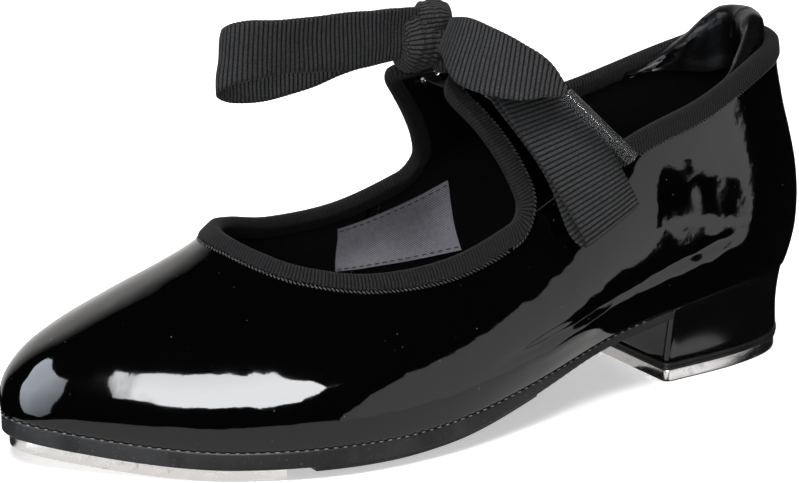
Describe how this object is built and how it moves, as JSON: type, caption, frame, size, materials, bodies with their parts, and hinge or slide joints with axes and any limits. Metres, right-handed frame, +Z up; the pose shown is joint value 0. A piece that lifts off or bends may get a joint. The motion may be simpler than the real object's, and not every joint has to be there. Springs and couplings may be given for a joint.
{
  "type": "tap shoe",
  "caption": "Child's left tap shoe: low-cut patent upper with ribbon tie on two instep tabs, rubber sole, block heel and metal toe and heel taps.",
  "frame": {"origin": "on the ground plane under the metal taps, under the middle of the whole shoe with its bow", "axes": "+X towards the toe, +Y towards the outer (lateral) side of the left foot, +Z up"},
  "size_m": [0.2169, 0.091, 0.103],
  "materials": {
    "patent": "high-gloss patent synthetic leather",
    "collar_leather": "smooth satin synthetic leather",
    "grosgrain": "ribbed grosgrain weave",
    "lining_textile": "napped black textile",
    "label_weave": "twill woven label, blank",
    "sole_rubber": "matte moulded rubber",
    "heel_plastic": "glossy moulded plastic",
    "tap_aluminium": "tumbled bright aluminium",
    "screw_steel": "zinc-plated steel",
    "eyelet_nickel": "nickel plate",
    "fibre_board": "pressed fibre board",
    "collar_foam": "soft foam",
    "clear_plastic": "clear acetate tube"
  },
  "bodies": {
    "shoe": {"outsole": "sole_rubber", "forefoot_pad": "sole_rubber", "heel_block": "heel_plastic", "heel_lift": "sole_rubber", "heel_tap": "tap_aluminium", "toe_tap": "tap_aluminium", "toe_tap_screws": "screw_steel", "heel_tap_screws": "screw_steel", "heel_seat_screws": "screw_steel", "insole_board": "fibre_board", "shank": "screw_steel", "forefoot_filler": "fibre_board", "sock_lining": "lining_textile", "upper": "patent", "back_stay": "patent", "vamp_lining": "lining_textile", "quarter_lining": "lining_textile", "toe_puff": "fibre_board", "heel_counter": "fibre_board", "collar_cover": "collar_leather", "collar_foam": "collar_foam", "throat_binding": "grosgrain", "rear_binding": "grosgrain", "content_label": "label_weave"},
    "tie": {"lateral_tab": "patent", "lateral_tab_lining": "lining_textile", "lateral_tab_binding": "grosgrain", "lateral_eyelet": "eyelet_nickel", "medial_tab": "patent", "medial_tab_lining": "lining_textile", "medial_tab_binding": "grosgrain", "medial_eyelet": "eyelet_nickel", "bow_knot": "grosgrain", "eyelet_strand": "grosgrain"},
    "front_loop": {"front_loop": "grosgrain"},
    "side_loop": {"side_loop": "grosgrain"},
    "outer_tail": {"outer_tail": "grosgrain", "outer_aglet": "clear_plastic"},
    "inner_tail": {"inner_tail": "grosgrain", "inner_aglet": "clear_plastic"}
  },
  "joints": [
    {"name": "tie_flex", "type": "hinge", "parent": "shoe", "child": "tie", "pos_m": [-0.02146, -0.00245, 0.05991], "axis": [0, 1, 0], "range_deg": [-8, 8]},
    {"name": "front_loop_swing", "type": "hinge", "parent": "tie", "child": "front_loop", "pos_m": [-0.0025, -0.00345, 0.093], "axis": [0, 1, 0], "range_deg": [-15, 35]},
    {"name": "side_loop_lift", "type": "hinge", "parent": "tie", "child": "side_loop", "pos_m": [-0.0025, -0.00345, 0.093], "axis": [1, 0, 0], "range_deg": [0, 50]},
    {"name": "outer_tail_lift", "type": "hinge", "parent": "tie", "child": "outer_tail", "pos_m": [-0.0025, -0.00345, 0.093], "axis": [1, 0, 0], "range_deg": [0, 50]},
    {"name": "inner_tail_lift", "type": "hinge", "parent": "tie", "child": "inner_tail", "pos_m": [-0.0025, -0.00345, 0.093], "axis": [-1, 0, 0], "range_deg": [0, 50]}
  ],
  "couplings": [
    {"joint": "outer_tail_lift", "follows": "side_loop_lift", "ratio": 1}
  ]
}
